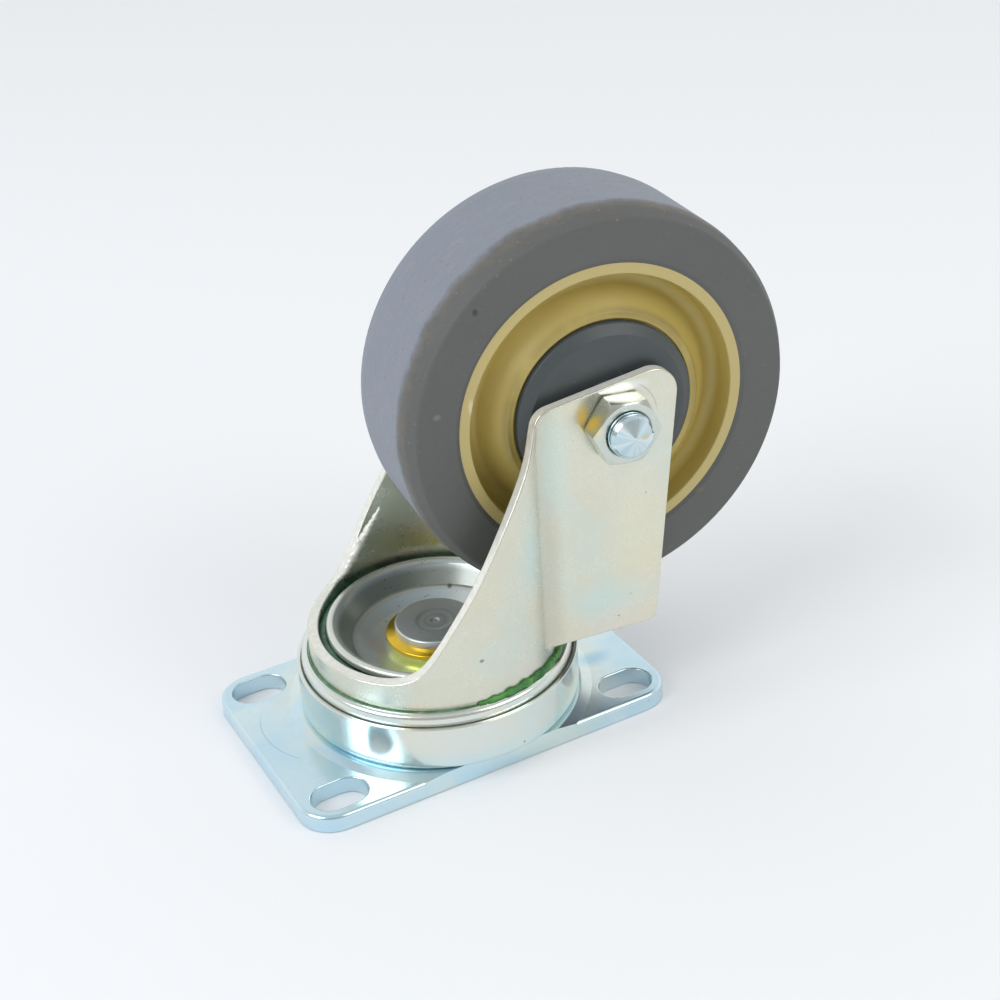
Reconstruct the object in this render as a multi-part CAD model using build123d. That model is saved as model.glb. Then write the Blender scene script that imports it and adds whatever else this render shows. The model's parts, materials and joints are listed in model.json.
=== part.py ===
from math import cos, pi, radians, sin, sqrt
import os

from build123d import *

# Swivel castor with a slotted mounting plate, a double ball raceway and a tyred wheel.
# Units are millimetres. Z = 0 is the mounting face and +Z points from the plate towards the wheel.
# The origin is the centre of the slot pattern, which is also the swivel axis.

# ---- driving sizes ----
plate_length = 92.0
plate_width = 60.0
plate_thickness = 4.0
plate_corner_radius = 8.0
slot_spacing_x = 73.2
slot_spacing_y = 45.8
slot_width = 9.0
slot_length = 13.0

cup_outer_radius = 32.5
cup_wall = 0.9
cup_height = 11.2
shoulder_width = 1.75
shoulder_rise = 2.6

yoke_sheet = 2.6
leg_outer_offset = 22.8
leg_end_radius = 6.0
cheek_skew = 1.2
swivel_angle = -6.5
wheel_lead = 36.6

wheel_radius = 44.9
wheel_lift = 29.8
tyre_width = 33.8
core_radius = 33.1
core_width = 32.4
core_rim = 2.4

axle_diameter = 9.52
hex_across_flats = 13.9
nut_height = 5.5
bolt_head_height = 6.2
kingpin_diameter = 12.0
kingpin_head_radius = 9.3
washer_radius = 11.5
collar_radius = 11.1
guard_radius = 20.4
guard_face = 18.4

lower_ball_diameter = 6.35
lower_ball_inset = 6.2
lower_ball_count = 21
upper_ball_diameter = 4.76
upper_ball_inset = 10.7
upper_ball_count = 21
wheel_ball_diameter = 5.2
wheel_ball_count = 8

# ---- clearances ----
running_gap = 0.3
ring_gap = 0.35
bore_gap = 0.05
edge_break = 0.35

# ---- heights that follow ----
boss_rise = 0.6
boss_top = plate_thickness + boss_rise
cup_floor_top = boss_top + cup_wall
cup_top = boss_top + cup_height
shoulder_radius = cup_outer_radius - cup_wall - running_gap
yoke_neck_radius = shoulder_radius - shoulder_width - ring_gap
axle_height = wheel_lift + wheel_radius
lower_ball_height = boss_top + 2.4
yoke_base_bottom = lower_ball_height + lower_ball_diameter / 2 - 0.58
yoke_base_top = yoke_base_bottom + yoke_sheet
upper_ball_height = yoke_base_top + upper_ball_diameter / 2 - 0.48
hub_top = yoke_base_bottom - 1.0
recess_top = hub_top - plate_thickness - 0.2
bowl_sheet = 1.8
bowl_floor_top = yoke_base_top + 3.8
bowl_floor_bottom = bowl_floor_top - bowl_sheet
bowl_rim_radius = yoke_neck_radius - yoke_sheet - 1.7
bowl_rim_top = bowl_floor_top + 8.6
collar_height = 3.2
collar_top = bowl_floor_top + collar_height
washer_thickness = 1.6
washer_top = collar_top + washer_thickness
head_height = 1.9
head_top = washer_top + head_height
leg_bottom = 22.7
leg_inner_offset = leg_outer_offset - yoke_sheet
neck_inner_radius = yoke_neck_radius - yoke_sheet
lower_ball_circle = yoke_neck_radius - lower_ball_inset
upper_ball_circle = yoke_neck_radius - upper_ball_inset
kingpin_radius = kingpin_diameter / 2
axle_radius = axle_diameter / 2
hex_corner_radius = hex_across_flats / sqrt(3)


def face_of(*points):
    """Closed flat face through the points (radius or length, height)."""
    return make_face(Polyline(*points, close=True))


def turned(face):
    """Body of revolution about Z from a face drawn as (radius, height)."""
    return revolve(Plane.XZ * face, Axis.Z)


def corners(face, *places):
    """The face's corners nearest the given places."""
    found = []
    for place in places:
        target = Vector(place[0], place[1], 0)
        found.append(min(face.vertices(), key=lambda v: (Vector(v.X, v.Y, v.Z) - target).length))
    return found


def rounded(face, radius, *places):
    return fillet(corners(face, *places), radius)


def ring(inner, outer, bottom, top):
    tube = Cylinder(outer, top - bottom) - Cylinder(inner, top - bottom + 2)
    return Pos(0, 0, (bottom + top) / 2) * tube


def ball_track(circle, height, ball_diameter):
    """Torus that clears a row of balls by the running gap."""
    return Pos(0, 0, height) * Torus(circle, ball_diameter / 2 + running_gap)


def ball_row(circle, height, ball_diameter, count):
    ball = Sphere(ball_diameter / 2)
    places = [Rot(0, 0, 360 * i / count) * Pos(circle, 0, height) for i in range(count)]
    return Compound(children=[place * ball for place in places])


def hexagon(across_flats, height):
    return extrude(RegularPolygon(across_flats / 2, 6, major_radius=False), height)


lower_track = ball_track(lower_ball_circle, lower_ball_height, lower_ball_diameter)
upper_track = ball_track(upper_ball_circle, upper_ball_height, upper_ball_diameter)


# ---- mounting plate: pressed plate with a coved boss, a raised hub and four slots ----
def mounting_plate():
    blank = extrude(RectangleRounded(plate_length, plate_width, plate_corner_radius), plate_thickness)
    blank = fillet(blank.faces().sort_by(Axis.Z)[-1].outer_wire().edges(), 0.9)
    slots = []
    for side_x in (-1, 1):
        for side_y in (-1, 1):
            slot = extrude(SlotOverall(slot_length, slot_width), 3 * plate_thickness)
            slots.append(Pos(side_x * slot_spacing_x / 2, side_y * slot_spacing_y / 2, -plate_thickness) * slot)
    blank -= slots
    rims = blank.faces().sort_by(Axis.Z)[-1].inner_wires().edges()
    blank = fillet(rims, edge_break)
    boss_edge = cup_outer_radius + 0.6
    boss = face_of(
        (0, 0.5),
        (0, hub_top),
        (kingpin_radius + 4.2, hub_top),
        (kingpin_radius + 7.6, boss_top),
        (boss_edge, boss_top),
        (boss_edge + 2.4, plate_thickness),
        (boss_edge + 2.4, 0.5),
    )
    boss = rounded(boss, 0.9, (boss_edge, boss_top))
    boss = rounded(boss, 1.4, (kingpin_radius + 4.2, hub_top), (kingpin_radius + 7.6, boss_top))
    inside = extrude(RectangleRounded(plate_length, plate_width, plate_corner_radius), hub_top + 1)
    plate = blank + ((turned(boss) & inside) - slots)
    recess = face_of(
        (0, -1),
        (kingpin_radius + 5.4, -1),
        (kingpin_radius + 5.4, 0),
        (kingpin_radius + 3.4, recess_top),
        (0, recess_top),
    )
    plate -= turned(recess)
    plate -= Cylinder(kingpin_radius + bore_gap, 60)
    return plate - lower_track


# ---- outer cup: thin drawn ring with a floor flange ----
def outer_cup():
    inner = cup_outer_radius - cup_wall
    face = face_of(
        (inner - 2.6, boss_top),
        (cup_outer_radius, boss_top),
        (cup_outer_radius, cup_top),
        (inner, cup_top),
        (inner, cup_floor_top),
        (inner - 2.6, cup_floor_top),
    )
    face = rounded(face, 1.6, (cup_outer_radius, boss_top))
    face = rounded(face, 0.7, (inner, cup_floor_top))
    face = rounded(face, 0.25, (cup_outer_radius, cup_top), (inner, cup_top))
    return turned(face)


# ---- shoulder ring: rounded guard between the cup and the yoke's neck ----
def shoulder_ring():
    inner = yoke_neck_radius + ring_gap
    outer = shoulder_radius
    top = cup_top + shoulder_rise
    line = Polyline(
        (outer, cup_top - 0.8),
        (outer, cup_floor_top + 1.2),
        (outer - 0.8, cup_floor_top),
        (inner, cup_floor_top),
        (inner, top - edge_break),
        (inner + edge_break, top),
    )
    crown = Spline((inner + edge_break, top), (outer, cup_top - 0.8), tangents=((1, 0), (0, -1)))
    return turned(make_face([line, crown]))


# ---- spacer, collar, washer and kingpin: the stack on the swivel axis ----
def race_spacer():
    return ring(kingpin_radius + bore_gap, kingpin_radius + 4.0, hub_top, bowl_floor_bottom)


def clamp_collar():
    face = face_of(
        (kingpin_radius + bore_gap, bowl_floor_top),
        (collar_radius, bowl_floor_top),
        (collar_radius, collar_top),
        (kingpin_radius + bore_gap, collar_top),
    )
    return turned(rounded(face, 0.4, (collar_radius, collar_top)))


def kingpin_washer():
    face = face_of(
        (kingpin_radius + bore_gap, collar_top),
        (washer_radius, collar_top),
        (washer_radius, washer_top - 0.5),
        (kingpin_head_radius, washer_top),
        (kingpin_radius + bore_gap, washer_top),
    )
    return turned(rounded(face, 0.3, (washer_radius, collar_top), (washer_radius, washer_top - 0.5)))


def kingpin():
    tail_radius = kingpin_radius + 2.6
    face = face_of(
        (0, recess_top - 2.6),
        (tail_radius, recess_top - 2.6),
        (tail_radius, recess_top),
        (kingpin_radius, recess_top),
        (kingpin_radius, washer_top),
        (kingpin_head_radius, washer_top),
        (kingpin_head_radius, head_top),
        (4.4, head_top),
        (3.4, head_top - 0.15),
        (1.2, head_top - 0.15),
        (0.7, head_top - 0.4),
        (0, head_top - 0.4),
    )
    face = rounded(face, 1.2, (tail_radius, recess_top - 2.6))
    face = rounded(face, 0.45, (kingpin_head_radius, head_top))
    return turned(face)


# ---- bowl race: pressed dish that holds the yoke down on the upper balls ----
def bowl_race():
    floor_edge = collar_radius + 0.7
    step = upper_ball_circle + 0.4
    rim = bowl_rim_radius
    top = face_of(
        (kingpin_radius + bore_gap, bowl_floor_top),
        (floor_edge, bowl_floor_top),
        (step - 3.3, bowl_floor_top + 1.5),
        (step, bowl_floor_top + 3.5),
        (step + 0.7, bowl_floor_top + 3.8),
        (rim - 2.5, bowl_rim_top - 0.7),
        (rim - 1.4, bowl_rim_top),
        (rim, bowl_rim_top),
        (rim, bowl_rim_top - 1.5),
        (rim - 0.7, bowl_rim_top - 2.2),
        (step + 2.3, bowl_floor_top + 2.9),
        (step - 1.5, bowl_floor_bottom + 1.9),
        (floor_edge + 1.4, bowl_floor_bottom),
        (kingpin_radius + bore_gap, bowl_floor_bottom),
    )
    top = rounded(top, 0.9, (rim, bowl_rim_top))
    top = rounded(top, 1.6, (rim - 1.4, bowl_rim_top))
    top = rounded(top, 1.2, (rim - 2.5, bowl_rim_top - 0.7))
    top = rounded(top, 3.0, (step - 3.3, bowl_floor_top + 1.5), (floor_edge, bowl_floor_top))
    return turned(top) - upper_track


# ---- yoke: one pressed sheet, a drawn neck with coined ball tracks that runs up into two legs ----
def yoke():
    hole_radius = kingpin_radius + 7.0
    rear_top = leg_bottom + 2 * edge_break
    base = face_of(
        (hole_radius, yoke_base_bottom),
        (yoke_neck_radius, yoke_base_bottom),
        (yoke_neck_radius, rear_top),
        (neck_inner_radius, rear_top),
        (neck_inner_radius, yoke_base_top),
        (hole_radius, yoke_base_top),
    )
    base = rounded(base, yoke_sheet + 1.6, (yoke_neck_radius, yoke_base_bottom))
    base = rounded(base, 1.6, (neck_inner_radius, yoke_base_top))
    base = rounded(base, edge_break, (yoke_neck_radius, rear_top), (neck_inner_radius, rear_top))
    neck = turned(base)

    # Plan of the legs: the neck's circle runs into two flat cheeks with a soft valley between them.
    reach = 60.0
    valley_radius = 3.2
    outside = Circle(yoke_neck_radius) + Pos(reach / 2, 0) * Rectangle(reach, 2 * leg_outer_offset)
    valley_x = sqrt(yoke_neck_radius ** 2 - leg_outer_offset ** 2)
    outside = rounded(outside, valley_radius, (valley_x, leg_outer_offset), (valley_x, -leg_outer_offset))
    inside = Circle(neck_inner_radius) + Pos(reach / 2 + 5, 0) * Rectangle(reach + 10, 2 * leg_inner_offset)
    ridge_x = sqrt(neck_inner_radius ** 2 - leg_inner_offset ** 2)
    inside = rounded(
        inside,
        valley_radius + yoke_sheet,
        (ridge_x, leg_inner_offset),
        (ridge_x, -leg_inner_offset),
    )
    shell = Pos(0, 0, leg_bottom) * extrude(outside - inside, 80)

    # Side outline: a low front wall that sweeps up as a raked edge to the axle.
    wall_end = (-16.5, yoke_base_top + 13.2)
    shoulder = (wheel_lead - 19.8, axle_height + 1.5)
    rear_corner = (wheel_lead + 15.0, axle_height + 11.6)
    front_corner = (wheel_lead - 18.4, axle_height + 6.3)
    sweep = [(0.105, 0.039), (0.198, 0.112), (0.345, 0.265), (0.508, 0.431), (0.742, 0.686), (0.928, 0.878)]
    raked = []
    for along, up in sweep:
        u = wall_end[0] + along * (shoulder[0] - wall_end[0])
        z = wall_end[1] + up * (shoulder[1] - wall_end[1])
        raked.append((u, z))
    front_start = (-yoke_neck_radius - 3, wall_end[1] - 1.7)
    front = Spline(
        front_start,
        (wall_end[0] - 5.5, wall_end[1] - 1.0),
        wall_end,
        *raked,
        shoulder,
        tangents=((1, 0.05), (front_corner[0] - shoulder[0], front_corner[1] - shoulder[1])),
    )
    heel = (wheel_lead + 8.7, leg_bottom)
    rest = Polyline(
        shoulder,
        front_corner,
        rear_corner,
        heel,
        (front_start[0], leg_bottom),
        front_start,
    )
    outline = make_face([front, rest])
    outline = rounded(outline, leg_end_radius, rear_corner)
    outline = rounded(outline, 4.6, front_corner)
    outline = rounded(outline, 2.6, heel)
    # The cut leans a little, so the far cheek's edges lie ahead of the near cheek's.
    lean = (-cheek_skew / (2 * leg_outer_offset), 1, 0)
    side = Pos(-cheek_skew / 2, 0, 0) * extrude(Plane.XZ * outline, 45, dir=lean, both=True)
    legs = shell & side
    sheet_rims = [
        rim
        for rim in legs.edges()
        if rim.bounding_box().max.Z > leg_bottom + 1.5
        and rim.bounding_box().size.X + rim.bounding_box().size.Y > 0.02
    ]
    legs = fillet(sheet_rims, edge_break)
    body = neck + legs
    body -= lower_track
    body -= upper_track
    body -= Pos(wheel_lead, 0, axle_height) * Rot(90, 0, 0) * Cylinder(axle_radius + bore_gap, 80)
    return body


# ---- axle bolt, nut and sleeve, drawn along Z and laid across the yoke at the end ----
def across(shape):
    """Lays a shape drawn along Z across the yoke: +Z becomes -Y at the axle."""
    return Pos(wheel_lead, 0, axle_height) * Rot(90, 0, 0) * shape


nut_top = leg_outer_offset + nut_height
bolt_end = nut_top + 3.4


def axle_bolt():
    head_bottom = -leg_outer_offset
    head_end = -leg_outer_offset - bolt_head_height
    shank = face_of(
        (0, head_bottom - 1),
        (axle_radius, head_bottom - 1),
        (axle_radius, bolt_end - 1.9),
        (axle_radius - 0.5, bolt_end - 1.2),
        (0.5, bolt_end - 0.1),
        (0, bolt_end),
    )
    head = Pos(0, 0, head_end) * hexagon(hex_across_flats, bolt_head_height)
    crown = face_of(
        (0, head_end),
        (hex_across_flats / 2 - 0.2, head_end),
        (hex_corner_radius, head_end + 0.8),
        (hex_corner_radius, head_bottom),
        (0, head_bottom),
    )
    return turned(shank) + (head & turned(crown))


def lock_nut():
    hexed = Pos(0, 0, leg_outer_offset) * Rot(0, 0, -4) * hexagon(hex_across_flats, nut_height)
    crown = face_of(
        (0, leg_outer_offset),
        (hex_across_flats / 2 - 0.2, leg_outer_offset),
        (hex_corner_radius, leg_outer_offset + 0.7),
        (hex_corner_radius, nut_top - 0.7),
        (hex_across_flats / 2 - 0.2, nut_top),
        (0, nut_top),
    )
    lead_in = face_of(
        (0, nut_top - 0.5),
        (axle_radius + bore_gap, nut_top - 0.5),
        (axle_radius + bore_gap + 0.5, nut_top),
        (axle_radius + bore_gap + 0.5, nut_top + 1),
        (0, nut_top + 1),
    )
    nut = hexed & turned(crown)
    return nut - turned(lead_in) - Cylinder(axle_radius + bore_gap, 4 * nut_top)


race_width = 9.0
race_outer_end = 16.6
race_inner_end = race_outer_end - race_width
hub_floor = race_outer_end - 1.4
sleeve_wall = 1.64
race_wall = 2.5
race_space = 4.2
sleeve_radius = axle_radius + sleeve_wall
inner_race_radius = sleeve_radius + race_wall
outer_race_inside = inner_race_radius + race_space
outer_race_radius = outer_race_inside + race_wall
wheel_ball_circle = (inner_race_radius + outer_race_inside) / 2
race_middle = (race_outer_end + race_inner_end) / 2
wheel_track = ball_track(wheel_ball_circle, race_middle, wheel_ball_diameter)


def axle_sleeve():
    return ring(axle_radius + bore_gap, sleeve_radius, -race_outer_end, race_outer_end)


def bearing_inner_race():
    return ring(sleeve_radius + bore_gap, inner_race_radius, race_inner_end, race_outer_end) - wheel_track


def bearing_outer_race():
    return ring(outer_race_inside, outer_race_radius, race_inner_end, hub_floor) - wheel_track


def bearing_balls():
    return ball_row(wheel_ball_circle, race_middle, wheel_ball_diameter, wheel_ball_count)


guard_web = 1.4
guard_rim = hub_floor + running_gap


def thread_guard():
    web = guard_web
    face = face_of(
        (axle_radius + bore_gap, race_outer_end),
        (inner_race_radius - 0.6, race_outer_end),
        (inner_race_radius - 0.6, guard_face - web),
        (guard_radius - 2.6, guard_face - web),
        (guard_radius - web, guard_rim + 0.5),
        (guard_radius - web, guard_rim),
        (guard_radius, guard_rim),
        (guard_radius, race_outer_end + 0.3),
        (guard_radius - 2.4, guard_face),
        (sleeve_radius + 1.8, guard_face),
        (sleeve_radius + 1.2, leg_inner_offset),
        (axle_radius + bore_gap, leg_inner_offset),
    )
    face = rounded(face, 0.5, (guard_radius, race_outer_end + 0.3), (guard_radius - 2.4, guard_face))
    return turned(face)


# ---- wheel: moulded core with dished sides and a bonded tyre ----
def mirrored(points):
    return points + [(r, -h) for r, h in reversed(points)]


def wheel_core():
    half = core_width / 2
    well = guard_radius + ring_gap
    dish = core_radius - core_rim - 2.6
    side = [
        (outer_race_inside + 0.6, race_inner_end),
        (outer_race_radius + bore_gap, race_inner_end),
        (outer_race_radius + bore_gap, hub_floor),
        (well, hub_floor),
        (well, half - 0.2),
        (well + 1.5, half - 0.3),
        (dish, half - 6.4),
        (core_radius - core_rim - 0.6, half - 4.8),
        (core_radius - core_rim, half),
        (core_radius, half),
        (core_radius, 5.0),
        (core_radius + 1.6, 5.0),
    ]
    face = face_of(*mirrored(side))
    for sign in (-1, 1):
        face = rounded(face, 0.3, (well, sign * (half - 0.2)), (core_radius - core_rim, sign * half))
        face = rounded(face, 0.5, (well + 1.5, sign * (half - 0.3)))
        face = rounded(face, 1.9, (dish, sign * (half - 6.4)))
        face = rounded(face, 1.4, (core_radius - core_rim - 0.6, sign * (half - 4.8)))
    return turned(face)


def tyre():
    half = tyre_width / 2
    core_half = core_width / 2
    side = [
        (core_radius + 1.6, 5.0),
        (core_radius, 5.0),
        (core_radius, core_half),
        (core_radius + 0.9, half - 0.2),
        (wheel_radius - 2.1, half),
        (wheel_radius - 0.5, half - 2.9),
        (wheel_radius, half - 6.2),
    ]
    face = face_of(*mirrored(side))
    for sign in (-1, 1):
        face = rounded(face, 0.5, (core_radius + 0.9, sign * (half - 0.2)))
        face = rounded(face, 0.8, (wheel_radius - 2.1, sign * half))
        face = rounded(face, 3.0, (wheel_radius - 0.5, sign * (half - 2.9)))
    return turned(face)


# ---- place everything and write one file per piece ----
def near(shape):
    return across(shape)


def far(shape):
    return across(mirror(shape, Plane.XY))


def build():
    fixed = {
        "mounting_plate": mounting_plate(),
        "outer_cup": outer_cup(),
        "shoulder_ring": shoulder_ring(),
        "race_spacer": race_spacer(),
        "bowl_race": bowl_race(),
        "clamp_collar": clamp_collar(),
        "kingpin_washer": kingpin_washer(),
        "kingpin": kingpin(),
        "lower_balls": ball_row(lower_ball_circle, lower_ball_height, lower_ball_diameter, lower_ball_count),
        "upper_balls": ball_row(upper_ball_circle, upper_ball_height, upper_ball_diameter, upper_ball_count),
    }
    turning = {
        "yoke": yoke(),
        "axle_bolt": near(axle_bolt()),
        "lock_nut": near(lock_nut()),
        "axle_sleeve": near(axle_sleeve()),
        "near_thread_guard": near(thread_guard()),
        "far_thread_guard": far(thread_guard()),
        "near_inner_race": near(bearing_inner_race()),
        "far_inner_race": far(bearing_inner_race()),
        "near_bearing_balls": near(bearing_balls()),
        "far_bearing_balls": far(bearing_balls()),
        "near_outer_race": near(bearing_outer_race()),
        "far_outer_race": far(bearing_outer_race()),
        "wheel_core": near(wheel_core()),
        "tyre": near(tyre()),
    }
    pieces = dict(fixed)
    for name, shape in turning.items():
        pieces[name] = Rot(0, 0, swivel_angle) * shape
    return pieces


os.makedirs("parts", exist_ok=True)
for name, shape in build().items():
    shape.label = name
    export_step(shape, "parts/" + name + ".step")
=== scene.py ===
import json
from math import atan2, cos, hypot, pi, radians, sin

import bpy
from mathutils import Matrix, Vector


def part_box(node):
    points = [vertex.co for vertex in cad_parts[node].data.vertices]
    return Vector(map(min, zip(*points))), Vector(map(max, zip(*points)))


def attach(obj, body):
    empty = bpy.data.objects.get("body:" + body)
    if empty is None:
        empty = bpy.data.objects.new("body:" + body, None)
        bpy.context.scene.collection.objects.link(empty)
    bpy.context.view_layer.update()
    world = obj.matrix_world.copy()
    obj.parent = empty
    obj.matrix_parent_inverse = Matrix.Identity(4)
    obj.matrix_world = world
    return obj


# A swivel castor that lies on its mounting plate: finishes for the CAD pieces, and the grease,
# the bolt's thread and the torn edge that the CAD leaves out.
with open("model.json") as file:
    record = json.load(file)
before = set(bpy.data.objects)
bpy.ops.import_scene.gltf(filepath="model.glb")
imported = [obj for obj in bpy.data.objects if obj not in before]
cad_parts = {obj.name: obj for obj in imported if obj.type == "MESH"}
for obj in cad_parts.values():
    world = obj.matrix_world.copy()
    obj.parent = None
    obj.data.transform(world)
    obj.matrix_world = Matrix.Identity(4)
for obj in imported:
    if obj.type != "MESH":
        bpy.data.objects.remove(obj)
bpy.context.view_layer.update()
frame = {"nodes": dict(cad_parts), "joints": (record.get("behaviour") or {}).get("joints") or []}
nodes = frame["nodes"]
bpy.ops.object.select_all(action="DESELECT")

MM = 0.001


def mm(*lengths):
    """Place or sizes written in millimetres, as metres."""
    return Vector(lengths) * MM


def on_face(face, along, height):
    """Point of the fork's or wheel's near face, along and height in millimetres from the axle."""
    return Vector((along * MM, -face, height * MM))


def linear(*rgb):
    """Written colour (0 to 255) as light."""
    shares = [level / 255 for level in rgb]
    return tuple(c / 12.92 if c <= 0.04045 else ((c + 0.055) / 1.055) ** 2.4 for c in shares)


# ---- places on the castor, in metres ----
# The fork's own axes start at the axle: along runs ahead, depth from the nut's side to the bolt's head.
AXLE = Vector(next(joint["pos_m"] for joint in frame["joints"] if joint["name"] == "wheel_spin"))
AXLE_LEAD = hypot(AXLE.x, AXLE.y)
SWIVEL_ANGLE = atan2(AXLE.y, AXLE.x)
WHEEL_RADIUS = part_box("tyre")[1].z - AXLE.z
SHOULDER_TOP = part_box("shoulder_ring")[1].z
BOWL_RADIUS, _, BOWL_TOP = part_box("bowl_race")[1]
CUP_RADIUS, _, CUP_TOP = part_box("outer_cup")[1]
SHEET = 2.6 * MM
CHEEK_OUTSIDE = 22.8 * MM
CHEEK_MIDDLE = CHEEK_OUTSIDE - SHEET / 2
CHEEK_INSIDE = CHEEK_OUTSIDE - SHEET
NECK_OUTSIDE = 29.2 * MM
NECK_MIDDLE = NECK_OUTSIDE - SHEET / 2
TYRE_FACE = 16.9 * MM
GREASE_RADIUS = NECK_OUTSIDE + 0.22 * MM

# ---- camera and light ----
CAMERA_AIM = mm(33.34, 28.10, 30.0)
CAMERA_AZIMUTH = radians(-27.41)
CAMERA_ELEVATION = radians(29.87)
CAMERA_ROLL = radians(-3.63)
CAMERA_DISTANCE = 425.49 * MM
SENSOR_WIDTH = 36.0
FOCAL_SHARE = 1.71754
LAMP_AIM = mm(20.0, 0.0, 50.0)
LAMP_DISTANCE = 2.0
LAMP_SIZE = 1.25
FLOOR_SIZE = 6.0
FLOOR_DROP = 0.2 * MM
FLOOR_WHITE = linear(242, 244, 246)
AWAY_FROM_CAMERA = Vector((0.46, 0.89, 0.0))
ROOM = (0.47, 0.47, 0.46)
SWEEP = (0.96, 0.965, 0.96)
CEILING = (0.67, 0.68, 0.70)

# ---- stains and tints on metal, with painted shade, highlights and reflections, as light ----
STRAW = (0.86, 0.84, 0.66)
SCRIBED_LINE = (0.34, 0.42, 0.46)
PATCH_BLUE = (0.28, 0.55, 0.74)
CUP_FOOT_BLUE = (0.56, 0.80, 0.88)
BLUSH = (0.82, 0.75, 0.71)
MOTTLE_GREY = (0.60, 0.62, 0.54)
SCRATCH_GREY = (0.52, 0.54, 0.50)
VALLEY_SHADE = (0.46, 0.45, 0.37)
INSIDE_OLIVE = (0.44, 0.47, 0.40)
NUT_SHADE = (0.42, 0.43, 0.38)
NUT_ARC = (0.40, 0.42, 0.42)
GOLD = (0.97, 0.76, 0.28)
NUT_GOLD = (1.0, 0.82, 0.30)
NUT_PAINTED_HIGHLIGHT = (0.92, 0.95, 0.95)
CHEEK_PAINTED_HIGHLIGHT = (0.93, 0.95, 0.93)
COOL_SHADE = (0.50, 0.56, 0.56)
NECK_SPECK = (0.22, 0.22, 0.20)
SHEARED_DARK = (0.80, 0.80, 0.74)
SHEARED_PALE = (0.92, 0.91, 0.86)
BOWL_WALL = (0.24, 0.25, 0.20)
BOWL_RIM = (0.66, 0.67, 0.60)
BOWL_STEP = (0.86, 0.87, 0.84)
BOWL_RUST = (0.62, 0.40, 0.34)
BOWL_LIME = (0.70, 0.68, 0.30)
BOWL_SPECK = (0.12, 0.13, 0.13)
HEAD_REFLECTED_RING = (0.26, 0.28, 0.30)
HEAD_WARM = (0.70, 0.62, 0.50)
HEAD_EDGE = (0.80, 0.84, 0.86)
HEAD_SPECK = (0.66, 0.46, 0.36)
RAY_REFLECTION_DARK = (0.26, 0.46, 0.58)
RAY_REFLECTION_PALE = (0.93, 0.96, 0.96)
AMBER = (0.70, 0.52, 0.22)
THREAD_SHADE = (0.24, 0.25, 0.22)

# ---- rubber and moulded plastic ----
TYRE_SIDE = (linear(92, 94, 92), linear(104, 105, 104))
TYRE_TREAD_DUST_AND_LIGHT = (linear(134, 141, 152), linear(146, 152, 164))
TYRE_WIPED = linear(160, 163, 168)
TYRE_RUBBED = linear(120, 110, 96)
TYRE_CRUMB = linear(148, 116, 76)
TYRE_SCUFF = linear(150, 146, 138)
TYRE_SPECKLE = linear(80, 81, 82)
CORE_TAN = (linear(190, 171, 98), linear(178, 158, 84))
CORE_RIM = linear(196, 181, 126)
CORE_GROOVE_DARK = linear(92, 80, 44)
CORE_PAINTED_LIGHT = linear(206, 188, 118)
CORE_NICK = linear(226, 214, 178)
GUARD_SLATE = (linear(74, 81, 84), linear(66, 72, 74))
DUST = linear(126, 130, 130)


class Wire:
    """A value in a shader that takes part in sums as a number does."""

    def __init__(self, graph, socket):
        self.graph = graph
        self.socket = socket

    def _sum(self, operation, *values):
        return self.graph.node("ShaderNodeMath", {"operation": operation}, dict(enumerate(values)))

    def __add__(self, other):
        return self._sum("ADD", self, other)

    def __radd__(self, other):
        return self._sum("ADD", other, self)

    def __sub__(self, other):
        return self._sum("SUBTRACT", self, other)

    def __rsub__(self, other):
        return self._sum("SUBTRACT", other, self)

    def __mul__(self, other):
        return self._sum("MULTIPLY", self, other)

    def __rmul__(self, other):
        return self._sum("MULTIPLY", other, self)

    def __abs__(self):
        return self._sum("ABSOLUTE", self)


class Graph:
    """A node tree whose nodes are written as sums of wires."""

    def __init__(self, tree):
        self.tree = tree

    def node(self, kind, settings, sockets, output=0):
        """Add a node: its settings first, then the value or wire of each named or numbered socket."""
        made = self.tree.nodes.new(kind)
        for setting, value in settings.items():
            setattr(made, setting, value)
        for socket, value in sockets.items():
            self.feed(made.inputs[socket], value)
        return Wire(self, made.outputs[output])

    def feed(self, socket, value):
        if isinstance(value, Wire):
            self.tree.links.new(value.socket, socket)
        elif socket.type == "RGBA":
            socket.default_value = (*value, 1)
        else:
            socket.default_value = value

    def step(self, value, low, high, bottom=0.0, top=1.0):
        """Smooth ramp from bottom at low to top at high."""
        ramp = {"interpolation_type": "SMOOTHSTEP", "clamp": True}
        return self.node("ShaderNodeMapRange", ramp, dict(enumerate((value, low, high, bottom, top))))

    def mix(self, share, first, second):
        sockets = {0: share, 6: first, 7: second}
        return self.node("ShaderNodeMix", {"data_type": "RGBA"}, sockets, output=2)

    def parts(self, vector):
        split = self.node("ShaderNodeSeparateXYZ", {}, {0: vector})
        return [Wire(self, output) for output in split.socket.node.outputs]


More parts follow.
